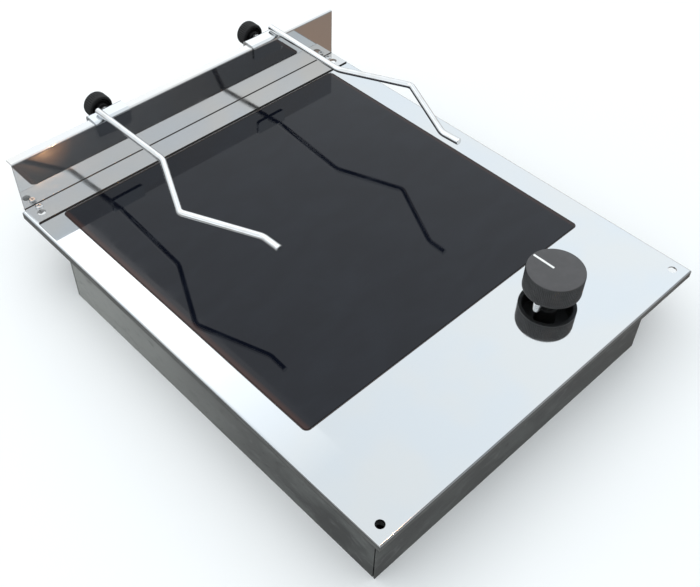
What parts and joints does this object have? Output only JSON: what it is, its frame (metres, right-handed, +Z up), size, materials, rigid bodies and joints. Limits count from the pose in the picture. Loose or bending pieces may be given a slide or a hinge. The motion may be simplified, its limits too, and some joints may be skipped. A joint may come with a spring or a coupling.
{
  "type": "drop-in ceramic hob",
  "caption": "Drop-in hot plate: steel top with a flush black glass cooking panel, rotary control, rear rail with two sliding rod pan holders, and a sheet box below.",
  "frame": {"origin": "middle of the whole part's footprint, on the underside of the lower box, which is what it stands on", "axes": "+X to the user's right along the front edge, +Y from the user towards the rear rail, +Z up out of the glass"},
  "size_m": [0.35, 0.4452, 0.1211],
  "materials": {
    "polished_steel": "mirror-polished stainless steel",
    "black_glass": "gloss, opaque black glass-ceramic",
    "seal_silicone": "dark silicone joint",
    "gasket_fibre": "matt fibre tape",
    "galvanised_steel": "dark streaky galvanised sheet",
    "plain_steel": "plain aluminised sheet",
    "zinc_fasteners": "bright zinc plate",
    "brass": "plain",
    "insulation": "matt microporous board",
    "heating_alloy": "oxidised heating alloy ribbon",
    "ceramic_parts": "unglazed steatite",
    "dark_plastic": "moulded black polyamide",
    "knob_plastic": "fine-grained charcoal phenolic, knurled side",
    "pointer_white": "white filled line",
    "thumb_plastic": "black moulded, knurled rim",
    "wire_brown": "silicone insulation",
    "wire_blue": "silicone insulation",
    "wire_black": "silicone insulation",
    "wire_green": "silicone insulation"
  },
  "bodies": {
    "hob": {"top_plate": "polished_steel", "ceramic_glass": "black_glass", "glass_seal": "seal_silicone", "glass_gasket": "gasket_fibre", "glass_frame": "plain_steel", "pan_rail": "polished_steel", "rail_screws": "zinc_fasteners", "rail_nuts": "zinc_fasteners", "box_shell": "galvanised_steel", "rear_panel": "galvanised_steel", "left_side_panel": "galvanised_steel", "right_side_panel": "galvanised_steel", "weld_studs": "brass", "stud_nuts": "zinc_fasteners", "hanger_straps": "plain_steel", "strap_spacers": "plain_steel", "strap_rivets": "zinc_fasteners", "heater_dish": "plain_steel", "heater_base": "insulation", "heater_ring": "insulation", "heater_ribbon": "heating_alloy", "heater_springs": "plain_steel", "limiter_rod": "ceramic_parts", "limiter_head": "ceramic_parts", "regulator_plate": "plain_steel", "regulator_body": "dark_plastic", "regulator_tabs": "brass", "shaft_bushing": "brass", "shaft_washer": "dark_plastic", "control_screws": "zinc_fasteners", "terminal_block": "ceramic_parts", "terminal_screws": "brass", "earth_stud": "brass", "earth_nuts": "zinc_fasteners", "cable_gland": "dark_plastic", "gland_nut": "dark_plastic", "live_wire": "wire_brown", "neutral_wire": "wire_blue", "link_wire": "wire_black", "earth_wire": "wire_green"},
    "control": {"control_shaft": "zinc_fasteners", "control_knob": "knob_plastic", "knob_pointer": "pointer_white", "knob_set_screw": "zinc_fasteners"},
    "left_holder": {"left_clamp": "polished_steel", "left_rod": "polished_steel", "left_weld_nut": "zinc_fasteners"},
    "left_thumb": {"left_thumb_screw": "zinc_fasteners", "left_thumb_knob": "thumb_plastic"},
    "right_holder": {"right_clamp": "polished_steel", "right_rod": "polished_steel", "right_weld_nut": "zinc_fasteners"},
    "right_thumb": {"right_thumb_screw": "zinc_fasteners", "right_thumb_knob": "thumb_plastic"}
  },
  "joints": [
    {"name": "control_turn", "type": "hinge", "parent": "hob", "child": "control", "pos_m": [0.0698, -0.16275, 0.066], "axis": [0, 0, -1], "range_deg": [0, 290]},
    {"name": "left_holder_slide", "type": "slide", "parent": "hob", "child": "left_holder", "axis": [1, 0, 0], "range_m": [-0.07, 0.06]},
    {"name": "left_thumb_turn", "type": "hinge", "parent": "left_holder", "child": "left_thumb", "pos_m": [-0.076, 0.20745, 0.0954], "axis": [0, 1, 0], "range_deg": [0, 450]},
    {"name": "right_holder_slide", "type": "slide", "parent": "hob", "child": "right_holder", "axis": [-1, 0, 0], "range_m": [-0.06, 0.06]},
    {"name": "right_thumb_turn", "type": "hinge", "parent": "right_holder", "child": "right_thumb", "pos_m": [0.091, 0.20745, 0.0954], "axis": [0, 1, 0], "range_deg": [0, 450]}
  ]
}
